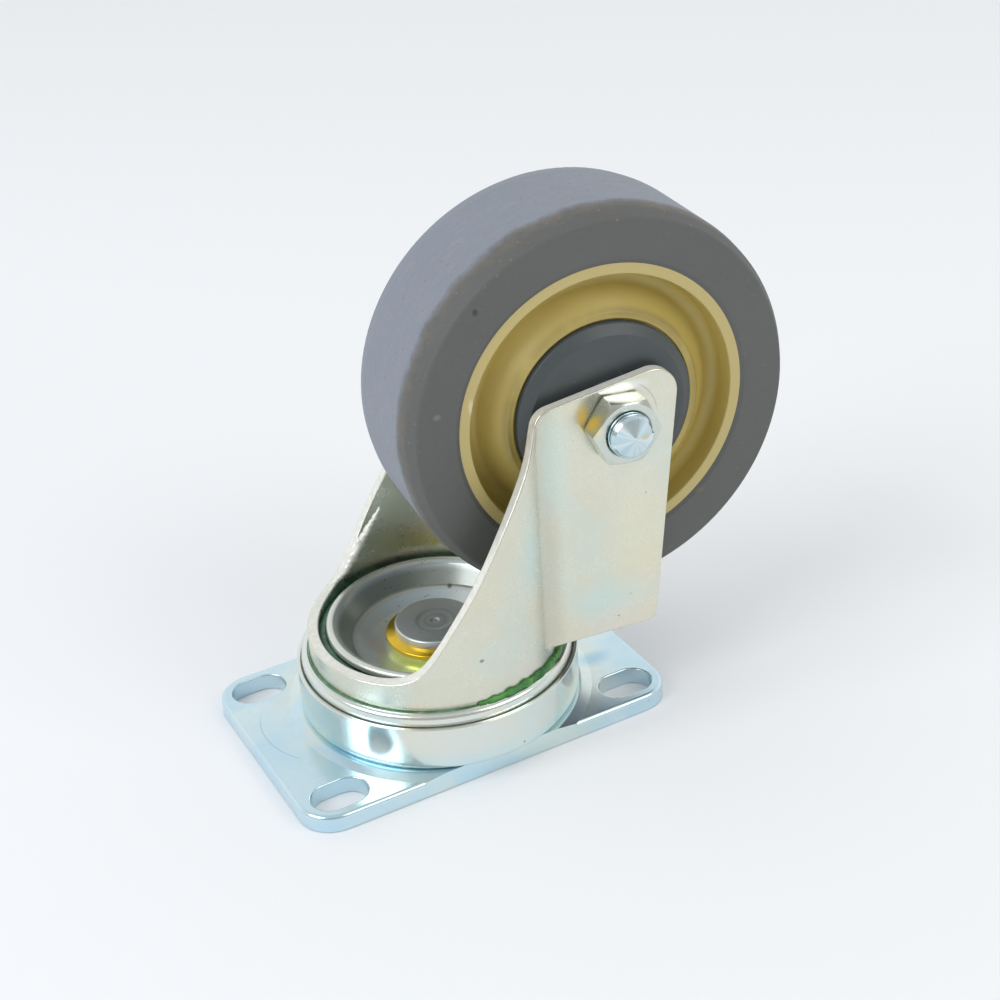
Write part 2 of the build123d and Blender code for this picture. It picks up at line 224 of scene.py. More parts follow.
class Finish(Graph):
    """A material: its colour, relief and roughness are built up layer by layer."""

    def __init__(self, name):
        self.material = bpy.data.materials.new(name)
        self.material.use_nodes = True
        super().__init__(self.material.node_tree)
        self.shader = self.tree.nodes["Principled BSDF"]
        self.place = self.node("ShaderNodeTexCoord", {}, {}, output="Object")

    def set(self, name, value):
        self.feed(self.shader.inputs[name], value)

    def tint(self, share, colour):
        """Lay a colour over the finish so far."""
        self.colour = self.mix(share, self.colour, colour)

    def dab(self, place, centre, half_sizes, colour, share, soft=0.5):
        """Tint a spot about a centre."""
        self.tint(self.spot(place, centre, half_sizes, soft) * share, colour)

    def noise(self, scale, detail=3.0, roughness=0.5, place=None):
        sockets = {"Vector": place or self.place, "Scale": scale, "Detail": detail, "Roughness": roughness}
        return self.node("ShaderNodeTexNoise", {"noise_dimensions": "3D"}, sockets)

    def clouds(self, scale, low, high, detail=2.0, roughness=0.5, place=None):
        """Soft patches of noise: 0 under low and 1 over high."""
        return self.step(self.noise(scale, detail, roughness, place), low, high)

    def cells(self, scale):
        sockets = {"Vector": self.place, "Scale": scale}
        return self.node("ShaderNodeTexVoronoi", {}, sockets, output="Distance")

    def band(self, value, middle, half, soft):
        """1 within half of middle, falling to 0 over soft."""
        return self.step(abs(value - middle), half + soft, half)

    def stretched(self, scale, place=None):
        sockets = {"Vector": place or self.place, "Scale": Vector(scale)}
        return self.node("ShaderNodeMapping", {"vector_type": "POINT"}, sockets)

    def seen_from(self, centre, turn=0.0, place=None, sizes=(1.0, 1.0, 1.0)):
        """Place measured from a centre, in axes turned about Z, as a share of the sizes."""
        sockets = {
            "Vector": place or self.place,
            "Location": centre,
            "Rotation": Vector((0, 0, turn)),
            "Scale": Vector(sizes),
        }
        return self.node("ShaderNodeMapping", {"vector_type": "TEXTURE"}, sockets)

    def length(self, vector):
        return self.node("ShaderNodeVectorMath", {"operation": "LENGTH"}, {0: vector}, output="Value")

    def distance(self, place, centre):
        return self.length(self.seen_from(centre, place=place))

    def from_swivel_axis(self):
        return self.length(self.stretched((1.0, 1.0, 0.0)))

    def spot(self, place, centre, half_sizes, soft=0.5):
        """1 inside an ellipsoid about a centre, fading out over its soft rim."""
        share = self.length(self.seen_from(centre, place=place, sizes=half_sizes))
        return self.step(share, 1.0 + soft, 1.0 - soft)

    def about_axle(self):
        """Place on the fork's axes, its depth and its distance from the axle's line."""
        place = self.seen_from(AXLE, SWIVEL_ANGLE)
        along, depth, height = self.parts(place)
        radius = self.node("ShaderNodeMath", {"operation": "SQRT"}, {0: along * along + height * height})
        return place, depth, radius

    def close(self, rough, relief, strength, distance):
        """Feed the shader with what the layers came to."""
        self.set("Base Color", self.colour)
        self.set("Roughness", rough)
        sockets = {"Strength": strength, "Distance": distance, "Height": relief}
        self.set("Normal", self.node("ShaderNodeBump", {}, sockets))
        return self


# ---- camera, floor and light ----
def add_camera():
    """Camera that looks down on the castor from the nut's side."""
    level = cos(CAMERA_ELEVATION)
    back = Vector((sin(CAMERA_AZIMUTH) * level, -cos(CAMERA_AZIMUTH) * level, sin(CAMERA_ELEVATION)))
    right = Vector((cos(CAMERA_AZIMUTH), sin(CAMERA_AZIMUTH), 0))
    up = back.cross(right)
    rolled_right = right * cos(CAMERA_ROLL) + up * sin(CAMERA_ROLL)
    rolled_up = up * cos(CAMERA_ROLL) - right * sin(CAMERA_ROLL)
    data = bpy.data.cameras.new("camera")
    data.sensor_width = SENSOR_WIDTH
    data.lens = FOCAL_SHARE * SENSOR_WIDTH
    data.clip_start = 0.02
    data.clip_end = 30.0
    camera = bpy.data.objects.new("camera", data)
    bpy.context.scene.collection.objects.link(camera)
    axes = Matrix((rolled_right, rolled_up, back)).transposed().to_4x4()
    camera.matrix_world = Matrix.Translation(CAMERA_AIM + back * CAMERA_DISTANCE) @ axes
    bpy.context.scene.camera = camera


def add_softbox(name, towards, radiance, colour):
    """Square soft lamp that faces the castor, of a given radiance."""
    direction = Vector(towards).normalized()
    data = bpy.data.lights.new(name, "AREA")
    data.shape = "SQUARE"
    data.size = LAMP_SIZE
    data.energy = radiance * pi * LAMP_SIZE**2
    data.color = colour
    lamp = bpy.data.objects.new(name, data)
    bpy.context.scene.collection.objects.link(lamp)
    lamp.location = LAMP_AIM + direction * LAMP_DISTANCE
    lamp.rotation_euler = direction.to_track_quat("Z", "Y").to_euler()


def add_floor():
    """Pale card under the plate."""
    bpy.ops.mesh.primitive_plane_add(size=FLOOR_SIZE, location=(0, 0, -FLOOR_DROP))
    floor = bpy.context.object
    floor.name = "floor"
    bpy.ops.object.transform_apply(location=True)
    finish = Finish("floor_card")
    finish.set("Base Color", FLOOR_WHITE)
    finish.set("Roughness", 0.9)
    finish.set("Specular IOR Level", 0.1)
    floor.data.materials.append(finish.material)
    floor.select_set(False)


def add_world():
    """White sweep behind the castor, a dimmer room on the camera's side and a soft ceiling."""
    world = bpy.data.worlds.new("studio")
    world.use_nodes = True
    bpy.context.scene.world = world
    studio = Graph(world.node_tree)
    towards = studio.node("ShaderNodeTexCoord", {}, {}, output="Generated")
    dot = {"operation": "DOT_PRODUCT"}
    away = studio.node("ShaderNodeVectorMath", dot, {0: towards, 1: AWAY_FROM_CAMERA}, output="Value")
    height = studio.parts(towards)[2]
    sides = studio.mix(studio.step(away, low=-0.55, high=0.45), ROOM, SWEEP)
    whole = studio.mix(studio.step(height, low=0.45, high=0.95), sides, CEILING)
    background = world.node_tree.nodes["Background"]
    studio.feed(background.inputs["Color"], whole)
    background.inputs["Strength"].default_value = 1.0


# ---- metal finishes ----
def zinc(name, base, warm, cool, roughness, bump=0.10):
    """Bright zinc plate: fine crystal grain, slow drifts of tint and faint rubbed marks."""
    finish = Finish(name)
    finish.set("Metallic", 1.0)
    finish.colour = base
    finish.tint(finish.clouds(38.0, 0.35, 0.68) * 0.8, warm)
    finish.tint(finish.clouds(61.0, 0.45, 0.7, place=finish.stretched((1.0, 1.3, 0.7))) * 0.6, cool)
    grain = finish.noise(900.0, 4.0, 0.6)
    rub = finish.noise(240.0, 3.0, 0.6, place=finish.stretched((1.0, 6.0, 1.0)))
    darker = tuple(0.82 * level for level in base)
    finish.tint(finish.step(grain, 0.25, 0.75) * 0.14, darker)
    finish.relief = grain * 0.6 + rub * 0.4
    finish.bump_strength = bump
    finish.rough = roughness + (grain - 0.5) * 0.10 + (rub - 0.5) * 0.10
    return finish


def pitted(finish, scale, dark, share):
    """Small dark pits scattered over a metal."""
    near = finish.step(finish.cells(scale), 0.10, 0.04)
    few = finish.clouds(scale * 0.33, 0.66 - share, 0.70 - share)
    pits = near * few
    finish.tint(pits * 0.75, dark)
    finish.relief = finish.relief - pits * 1.5


def finished(finish):
    """Close a zinc finish with its own grain."""
    return finish.close(finish.rough, finish.relief, finish.bump_strength, 0.06 * MM)


def plate_metal():
    """Bluish plate: straw stain round the cup, an arc left by a washer and a blue patch."""
    finish = zinc("plate_zinc", (0.61, 0.80, 0.885), (0.72, 0.85, 0.88), (0.53, 0.76, 0.90), 0.20)
    near_cup = finish.step(finish.from_swivel_axis(), 42.0 * MM, 35.0 * MM)
    finish.tint(near_cup * finish.clouds(90.0, 0.40, 0.60) * 0.35, STRAW)
    washer = finish.distance(finish.place, mm(-24.0, 4.0, 4.0))
    arc = finish.band(washer, 18.6 * MM, 0.06 * MM, 0.10 * MM)
    side = finish.spot(finish.place, mm(-42.5, 0.0, 4.0), mm(4.0, 12.0, 3.0), 0.3)
    finish.tint(arc * side * 0.5, SCRIBED_LINE)
    finish.dab(finish.place, mm(35.5, -10.5, 4.0), mm(3.6, 2.2, 3.0), PATCH_BLUE, 0.55, 0.8)
    pitted(finish, scale=420.0, dark=(0.25, 0.30, 0.34), share=0.06)
    return finished(finish)


def cup_metal():
    """Cup and ring: a warm bright zinc that turns blue towards the plate."""
    finish = zinc("race_zinc", (0.75, 0.80, 0.765), (0.82, 0.80, 0.69), (0.64, 0.79, 0.80), 0.20)
    height = finish.parts(finish.place)[2]
    finish.tint(finish.step(height, 10.5 * MM, 5.5 * MM) * 0.45, CUP_FOOT_BLUE)
    pitted(finish, scale=260.0, dark=(0.20, 0.20, 0.18), share=0.05)
    return finished(finish)


def nut_marks_shade_and_highlight(finish, leg):
    """Painted shade round the nut and at its upper left, a painted highlight above it, and gold run-off and
    a turned arc that the nut left on the near cheek.
    """
    around = finish.distance(leg, on_face(CHEEK_OUTSIDE, 0.0, 0.0))
    # painted shade: the cheek darkened round the nut
    finish.tint(finish.step(around, 8.6 * MM, 7.0 * MM) * 0.35, NUT_SHADE)
    finish.dab(leg, on_face(CHEEK_OUTSIDE, -8.2, 3.2), mm(0.9, 2.0, 2.6), GOLD, 0.8, 0.7)
    # painted highlight: a pale strip on the cheek above the nut
    finish.dab(leg, on_face(CHEEK_OUTSIDE, 1.2, 8.0), mm(4.8, 2.0, 1.1), CHEEK_PAINTED_HIGHLIGHT, 0.8, 0.7)
    # painted shade: a cool darker patch at the nut's upper left
    finish.dab(leg, on_face(CHEEK_OUTSIDE, -3.3, 5.8), mm(3.0, 2.0, 3.0), COOL_SHADE, 0.35, 0.8)
    arc = finish.band(around, 9.4 * MM, 0.08 * MM, 0.14 * MM)
    side = finish.spot(leg, on_face(CHEEK_OUTSIDE, 7.8, 5.4), mm(3.0, 2.0, 4.5), 0.3)
    finish.tint(arc * side * 0.5, NUT_ARC)


def cheek_tints(finish, leg):
    """Pale blue, green and straw blooms in the zinc of the near cheek."""
    blooms = (
        (on_face(CHEEK_OUTSIDE, -2.4, -43.0), mm(9.0, 4.0, 4.0), (0.60, 0.80, 0.79), 0.5),
        (on_face(CHEEK_OUTSIDE, -15.0, -5.5), mm(3.0, 4.0, 11.0), (0.60, 0.79, 0.77), 0.45),
        (mm(-22.4, -24.0, -23.6), mm(3.0, 4.0, 9.0), (0.58, 0.78, 0.77), 0.5),
        (on_face(CHEEK_OUTSIDE, -29.6, -45.5), mm(7.0, 8.0, 5.0), (0.64, 0.78, 0.76), 0.4),
        (on_face(CHEEK_OUTSIDE, 4.7, -30.0), mm(6.0, 4.0, 14.0), (0.84, 0.80, 0.60), 0.4),
    )
    for centre, half_sizes, colour, share in blooms:
        finish.dab(leg, centre, half_sizes, colour, share, 0.8)


def sheared_edges(finish, along, depth, height):
    """The sheared edges of the sheet are duller and paler than its faces."""
    on_leg = finish.step(along, -19.6 * MM, -18.0 * MM)
    leg_edge = finish.band(abs(depth), CHEEK_MIDDLE, 0.85 * MM, 0.30 * MM)
    neck_edge = finish.band(finish.from_swivel_axis(), NECK_MIDDLE, 0.85 * MM, 0.30 * MM)
    above_base = finish.step(height, -53.5 * MM, -52.0 * MM)
    edge = (leg_edge * on_leg + neck_edge * (1.0 - on_leg)) * above_base
    torn = finish.clouds(700.0, 0.35, 0.65, detail=3.0, roughness=0.6)
    finish.tint(edge * 0.85, finish.mix(torn, SHEARED_DARK, SHEARED_PALE))
    finish.rough = finish.rough + edge * 0.22
    finish.set("Metallic", 1.0 - edge * 0.60)


def yoke_metal():
    """Yellowish zinc: clouded faces, painted shade in the valleys, stains with painted shade and a painted
    highlight round the nut, and pale edges.
    """
    finish = zinc("yoke_zinc", (0.745, 0.755, 0.64), (0.78, 0.735, 0.58), (0.69, 0.765, 0.70), 0.27, 0.14)
    finish.tint(finish.clouds(24.0, 0.50, 0.72) * 0.45, BLUSH)
    mottle = finish.clouds(170.0, 0.34, 0.74, detail=5.0, roughness=0.65)
    finish.tint(mottle * 0.16, MOTTLE_GREY)
    finish.rough = finish.rough + mottle * 0.06
    scratches = finish.clouds(160.0, 0.66, 0.72, place=finish.stretched((14.0, 14.0, 0.7)))
    finish.tint(scratches * 0.07, SCRATCH_GREY)
    leg = finish.seen_from(AXLE, SWIVEL_ANGLE)
    along, depth, height = finish.parts(leg)
    valley = finish.length(finish.seen_from(mm(-18.0, -23.5, 0.0), place=leg, sizes=(1.0, 1.0, 1000.0)))
    finish.tint(finish.step(valley, 5.5 * MM, 1.0 * MM) * 0.42, VALLEY_SHADE)
    inner_face = finish.band(abs(depth), CHEEK_INSIDE, 0.3 * MM, 0.1 * MM)
    finish.tint(inner_face * finish.step(along, -25.0 * MM, -20.0 * MM) * 0.55, INSIDE_OLIVE)
    nut_marks_shade_and_highlight(finish, leg)
    cheek_tints(finish, leg)
    finish.dab(finish.place, mm(-3.1, -29.0, 29.4), mm(0.5, 1.0, 0.4), NECK_SPECK, 0.8)
    pitted(finish, scale=300.0, dark=(0.30, 0.30, 0.26), share=0.05)
    sheared_edges(finish, along, depth, height)
    return finished(finish)


def bowl_metal():
    """Drawn steel bowl: pale floor and rim, a darker wall, a step line and stains by the collar."""
    finish = zinc("bowl_steel", (0.80, 0.88, 0.90), (0.80, 0.82, 0.76), (0.70, 0.86, 0.92), 0.30, 0.12)
    radius = finish.from_swivel_axis()
    finish.tint(finish.band(radius, 20.5 * MM, 0.9 * MM, 1.6 * MM) * 0.78, BOWL_WALL)
    finish.tint(finish.step(radius, 22.2 * MM, 23.4 * MM) * 0.75, BOWL_RIM)
    finish.tint(finish.band(radius, 18.8 * MM, 0.10 * MM, 0.35 * MM) * 0.5, BOWL_STEP)
    finish.dab(finish.place, mm(-12.5, 5.8, 19.0), mm(2.2, 4.5, 3.0), BOWL_RUST, 0.45, 0.8)
    finish.dab(finish.place, mm(-3.0, -13.5, 19.0), mm(6.0, 3.0, 3.0), BOWL_LIME, 0.45, 0.8)
    finish.dab(finish.place, mm(11.6, 15.2, 18.9), mm(0.6, 0.6, 2.0), BOWL_SPECK, 0.9)
    pitted(finish, scale=330.0, dark=(0.14, 0.15, 0.15), share=0.16)
    finish.set("Metallic", 0.72)
    return finished(finish)


def head_metal():
    """Rivet head with faint dark rings about its middle, a painted reflection of the studio."""
    finish = zinc("dark_steel", (0.46, 0.52, 0.55), (0.55, 0.53, 0.46), (0.40, 0.49, 0.57), 0.30, 0.05)
    radius = finish.from_swivel_axis()
    # painted reflection: two faint dark rings about the head's middle
    outer_reflected_ring = finish.band(radius, 4.4 * MM, 0.2 * MM, 0.4 * MM)
    inner_reflected_ring = finish.band(radius, 2.4 * MM, 0.2 * MM, 0.4 * MM)
    finish.tint((outer_reflected_ring + inner_reflected_ring) * 0.30, HEAD_REFLECTED_RING)
    finish.dab(finish.place, mm(-3.0, 7.0, 25.2), mm(5.0, 2.2, 3.0), HEAD_WARM, 0.5, 0.8)
    finish.tint(finish.step(radius, 8.8 * MM, 9.2 * MM) * 0.8, HEAD_EDGE)
    finish.dab(finish.place, mm(0.0, 0.0, 25.6), mm(0.5, 0.5, 3.0), HEAD_SPECK, 0.6)
    pitted(finish, scale=500.0, dark=(0.20, 0.21, 0.22), share=0.04)
    finish.set("Metallic", 0.75)
    return finished(finish)


def bolt_metal():
    """Bolt: bright zinc with a painted reflection of dark and pale rays that run out from the middle of its
    turned point.
    """
    finish = zinc("bolt_zinc", (0.68, 0.79, 0.82), (0.80, 0.82, 0.76), (0.48, 0.70, 0.80), 0.18)
    fork = finish.seen_from(AXLE, SWIVEL_ANGLE)
    along, depth, height = finish.parts(fork)
    # painted reflection: dark and pale rays round the turned point
    turn = finish.node("ShaderNodeMath", {"operation": "ARCTAN2"}, {0: height, 1: along})
    streaks = {"W": turn, "Scale": 1.5, "Detail": 2.5, "Roughness": 0.55}
    reflected_rays = finish.node("ShaderNodeTexNoise", {"noise_dimensions": "1D"}, streaks)
    on_point = finish.step(depth, -22.0 * MM, -26.0 * MM, 0.3, 1.0)
    finish.tint(finish.step(reflected_rays, 0.44, 0.64) * on_point * 0.34, RAY_REFLECTION_DARK)
    finish.tint(finish.step(reflected_rays, 0.48, 0.34) * on_point * 0.30, RAY_REFLECTION_PALE)
    finish.dab(fork, mm(2.6, -30.6, -0.2), mm(1.2, 3.0, 0.5), AMBER, 0.7, 0.6)
    return finished(finish)


def nut_metal():
    """Nut: a gold patch, a painted highlight on its upper flat, and painted shade at its foot and in its
    bore.
    """
    finish = zinc("fastener_zinc", (0.64, 0.68, 0.62), (0.74, 0.72, 0.60), (0.55, 0.67, 0.68), 0.18)
    fork, depth, radius = finish.about_axle()
    finish.dab(fork, mm(-6.6, -25.5, 2.2), mm(1.4, 2.4, 2.4), NUT_GOLD, 0.95, 0.6)
    # painted highlight on the nut's upper flat
    finish.dab(fork, mm(0.0, -25.5, 7.2), mm(5.0, 3.0, 1.2), NUT_PAINTED_HIGHLIGHT, 0.6)
    # painted shade at the nut's foot and in its bore
    foot = finish.step(depth, -23.8 * MM, -22.9 * MM) * finish.step(radius, 5.0 * MM, 5.6 * MM)
    bore = finish.step(radius, 5.7 * MM, 5.0 * MM) * finish.step(depth, -27.7 * MM, -28.3 * MM)
    finish.tint((foot + bore) * 0.6, THREAD_SHADE)
    pitted(finish, scale=600.0, dark=(0.24, 0.26, 0.26), share=0.10)
    return finished(finish)


def torn_metal():
    """Rough, pale metal of the torn edge."""
    finish = zinc("torn_zinc", (0.84, 0.84, 0.78), (0.88, 0.84, 0.72), (0.78, 0.84, 0.80), 0.42, 0.5)
    finish.set("Metallic", 0.5)
    return finished(finish)


# ---- rubber, plastic and grease ----
def tread_colours(finish, wheel, cloud, depth, radius):
    """Dark sidewall and paler tread, partly dust and partly painted light, with a ragged, rubbed border
    between them.
    """
    ragged = finish.noise(130.0, 5.0, 0.7)
    width = (ragged - 0.5) * (5.0 * MM) - depth
    far_side = finish.step(0.0 - width, 17.2 * MM, 15.6 * MM)
    crown = finish.step(radius, WHEEL_RADIUS - 1.9 * MM, WHEEL_RADIUS - 0.9 * MM)
    tread = finish.step(width, 13.0 * MM, 9.2 * MM) * far_side * crown
    wiped = finish.clouds(200.0, 0.5, 0.7, 3.0, 0.6, place=finish.stretched((1.0, 5.0, 1.0), wheel))
    # the tread's paler colour: partly dust, partly painted light where the tread faces the lamps
    tread_dust_and_light = finish.mix(wiped * 0.25, finish.mix(cloud * 0.6, *TYRE_TREAD_DUST_AND_LIGHT), TYRE_WIPED)
    finish.colour = finish.mix(tread, finish.mix(cloud * 0.6, *TYRE_SIDE), tread_dust_and_light)
    on_corner = finish.step(radius, WHEEL_RADIUS - 2.4 * MM, WHEEL_RADIUS - 1.3 * MM)
    border = finish.band(width, 12.6 * MM, 0.6 * MM, 2.2 * MM) * on_corner
    finish.tint(border * finish.clouds(240.0, 0.40, 0.60, 5.0, 0.75) * 0.50, TYRE_RUBBED)


def tyre_marks(finish, wheel, radius):
    """Brown crumbs along the corner, light scuffs and a few single marks."""
    crumbs = finish.step(finish.cells(520.0), 0.19, 0.09) * finish.clouds(170.0, 0.46, 0.55)
    corner = finish.band(radius, WHEEL_RADIUS - 1.2 * MM, 1.1 * MM, 1.4 * MM)
    finish.tint(crumbs * corner * 0.85, TYRE_CRUMB)
    scuffs = finish.clouds(420.0, 0.63, 0.72, 3.0, 0.7, place=finish.stretched((1.0, 1.0, 3.0)))
    finish.tint(scuffs * 0.16, TYRE_SCUFF)
    marks = (
        (mm(-21.2, -16.5, 41.7), mm(1.1, 2.0, 0.5), linear(140, 98, 52), 0.75),
        (mm(-7.7, -15.0, 44.2), mm(0.9, 2.0, 0.4), linear(150, 110, 66), 0.75),
        (on_face(TYRE_FACE, -28.0, 29.1), mm(0.6, 2.0, 0.7), linear(52, 52, 50), 0.8),
        (on_face(TYRE_FACE, -37.8, 7.9), mm(0.8, 2.0, 0.6), linear(138, 136, 128), 0.6),
        (on_face(TYRE_FACE, 22.9, -25.4), mm(0.9, 2.0, 0.5), linear(132, 112, 80), 0.5),
    )
    for centre, half_sizes, stain, share in marks:
        finish.dab(wheel, centre, half_sizes, stain, share)


def rubber():
    """Grey tyre: finely speckled rubber with a wiped tread."""
    finish = Finish("tyre_rubber")
    wheel, depth, radius = finish.about_axle()
    cloud = finish.noise(60.0, 4.0, 0.6)
    speckle = finish.noise(1500.0, 4.0, 0.65)
    tread_colours(finish, wheel, cloud, depth, radius)
    tyre_marks(finish, wheel, radius)
    finish.tint(speckle * 0.22, TYRE_SPECKLE)
    return finish.close(0.52 + speckle * 0.2, speckle, 0.25, 0.12 * MM)


def moulded(finish, roughness, bump):
    """Fine moulded skin over the colour laid so far."""
    fine = finish.noise(1300.0, 3.0, 0.6)
    return finish.close(roughness + (fine - 0.5) * 0.15, fine, bump, 0.08 * MM)


def core_moulding():
    """Tan olive core: a paler rim, a darker patchy band at its inner groove, painted light on the dish and a
    nick.
    """
    finish = Finish("core_plastic")
    wheel, _, radius = finish.about_axle()
    cloud = finish.noise(45.0, 4.0, 0.6)
    finish.colour = finish.mix(cloud, *CORE_TAN)
    finish.tint(finish.step(radius, 30.4 * MM, 31.0 * MM) * 0.75, CORE_RIM)
    # a darker, patchy band along the inner groove
    groove = finish.band(radius, 22.2 * MM, 0.3 * MM, 1.2 * MM)
    finish.tint(groove * finish.step(cloud, 0.35, 0.6) * 0.35, CORE_GROOVE_DARK)
    # painted light: a paler patch on the dish
    finish.dab(wheel, mm(-19.0, -13.0, 19.0), mm(8.0, 7.0, 8.0), CORE_PAINTED_LIGHT, 0.30, 0.8)
    finish.dab(wheel, mm(-30.0, -16.2, 8.0), mm(0.6, 2.0, 1.6), CORE_NICK, 0.6)
    return moulded(finish, 0.34, 0.10)


def guard_moulding():
    """Dark slate guards with a little dust."""
    finish = Finish("guard_plastic")
    finish.colour = finish.mix(finish.noise(45.0, 4.0, 0.6), *GUARD_SLATE)
    finish.tint(finish.clouds(500.0, 0.62, 0.74, 4.0, 0.7) * 0.25, DUST)
    return moulded(finish, 0.38, 0.12)


def grease(name, light, dark, thin):
    """Thick grease with paler and darker streaks."""
    finish = Finish(name)
    streak = finish.noise(420.0, 4.0, 0.6)
    finish.colour = finish.mix(finish.clouds(110.0, 0.35, 0.65, 3.0), dark, light)
    finish.tint(finish.step(streak, 0.45, 0.70) * 0.5, thin)
    return finish.close(0.22 + streak * 0.25, streak, 0.4, 0.1 * MM)


# ---- grease, thread and burrs ----
def place_on_fork(ahead, near, height):
    """Point of the fork: ahead of the swivel axis, near towards the nut's side, height over the plate."""
    return Vector((
        ahead * cos(SWIVEL_ANGLE) + near * sin(SWIVEL_ANGLE),
        ahead * sin(SWIVEL_ANGLE) - near * cos(SWIVEL_ANGLE),
        height,
    ))


def apply_all(piece):
    """Apply the modifiers and the place, so that the piece sits at the origin, unturned and unscaled."""
    bpy.ops.object.select_all(action="DESELECT")
    piece.select_set(True)
    bpy.context.view_layer.objects.active = piece
    for modifier in list(piece.modifiers):
        bpy.ops.object.modifier_apply(modifier=modifier.name)
    bpy.ops.object.transform_apply(location=True, rotation=True, scale=True)
    bpy.ops.object.shade_smooth()
    piece.select_set(False)


def joined(name, pieces):
    """Join pieces into one mesh."""
    bpy.ops.object.select_all(action="DESELECT")
    for piece in pieces:
        piece.select_set(True)
    bpy.context.view_layer.objects.active = pieces[0]
    bpy.ops.object.join()
    whole = bpy.context.view_layer.objects.active
    whole.name = name
    bpy.ops.object.transform_apply(location=True, rotation=True, scale=True)
    whole.select_set(False)
    return whole


def one_skin(piece, voxel_size):
    """Melt overlapping lumps into one closed skin."""
    remesh = piece.modifiers.new("one_skin", "REMESH")
    remesh.mode = "VOXEL"
    remesh.voxel_size = voxel_size


def ride_with(piece, finish, body):
    """Give a new piece its finish and the body that carries it."""
    piece.data.materials.append(finish.material)
    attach(piece, body)


def grease_ring(name, finish, radius, height, thickness, wobble, squash=1.0):
    """Ring of grease pressed out along a round gap, uneven as it was left."""
    bpy.ops.mesh.primitive_torus_add(
        major_segments=180,
        minor_segments=10,
        major_radius=radius,
        minor_radius=thickness,
        location=(0, 0, 0),
    )
    ring = bpy.context.object
    ring.name = name
    bpy.ops.object.mode_set(mode="EDIT")
    bpy.ops.mesh.select_all(action="SELECT")
    bpy.ops.transform.resize(value=(1, 1, squash))
    bpy.ops.transform.vertex_random(offset=wobble, seed=4)
    bpy.ops.mesh.vertices_smooth(factor=0.5, repeat=2)
    bpy.ops.transform.translate(value=(0, 0, height))
    bpy.ops.object.mode_set(mode="OBJECT")
    apply_all(ring)
    ride_with(ring, finish, "base")


def grease_smear(finish):
    """Bright smear that thickens towards one end of the shoulder's gap."""
    blob_count = 46
    start, sweep = radians(262), radians(72)
    thinnest, thickening = 0.26 * MM, 0.50 * MM
    blobs = []
    for i in range(blob_count):
        share = i / (blob_count - 1)
        angle = start + sweep * share
        fat = sin(pi * min(1.0, 0.10 + 0.78 * share)) ** 0.9
        wave = 0.35 * sin(i * 2.3) + 0.30 * sin(i * 5.1)
        radius = GREASE_RADIUS + (0.16 * wave + 0.10 * fat) * MM
        size = (thinnest + thickening * fat) * (1.0 + 0.55 * wave)
        lift = (0.12 + 0.42 * fat * (1.0 + 0.6 * sin(i * 3.7))) * MM
        bpy.ops.mesh.primitive_ico_sphere_add(
            subdivisions=3,
            radius=size,
            location=(radius * cos(angle), radius * sin(angle), SHOULDER_TOP + lift),
        )
        blob = bpy.context.object
        blob.rotation_euler = (0, 0, angle)
        blob.scale = (0.80, 1.7, 0.95)
        blobs.append(blob)
    smear = joined("grease_smear", blobs)
    one_skin(smear, 0.14 * MM)
    softer = smear.modifiers.new("softer", "SMOOTH")
    softer.factor = 0.5
    softer.iterations = 3
    apply_all(smear)
    ride_with(smear, finish, "base")


def bolt_thread(finish):
    """Thread turns that stand out of the nut, wound as one ridge."""
    pitch = 1.06 * MM
    ridge_radius = 0.26 * MM
    thread_radius = 4.68 * MM
    first_turn = 27.9 * MM
    bpy.ops.mesh.primitive_circle_add(
        vertices=6, radius=ridge_radius, fill_type="NOTHING", location=(0, 0, 0)
    )
    ridge = bpy.context.object
    ridge.name = "bolt_thread"
    bpy.ops.object.mode_set(mode="EDIT")
    bpy.ops.mesh.select_all(action="SELECT")
    bpy.ops.transform.rotate(value=radians(90), orient_axis="X", center_override=(0, 0, 0))
    bpy.ops.transform.translate(value=(thread_radius, 0, 0))
    bpy.ops.object.mode_set(mode="OBJECT")
    wound = ridge.modifiers.new("wound", "SCREW")
    wound.axis = "Z"
    wound.screw_offset = pitch
    wound.iterations = 2
    wound.steps = 40
    wound.render_steps = 40
    wound.use_normal_calculate = True
    ridge.matrix_world = (
        Matrix.Translation(place_on_fork(AXLE_LEAD, first_turn, AXLE.z))
        @ Matrix.Rotation(SWIVEL_ANGLE, 4, "Z")
        @ Matrix.Rotation(radians(90), 4, "X")
    )
    apply_all(ridge)
    ride_with(ridge, finish, "fork")


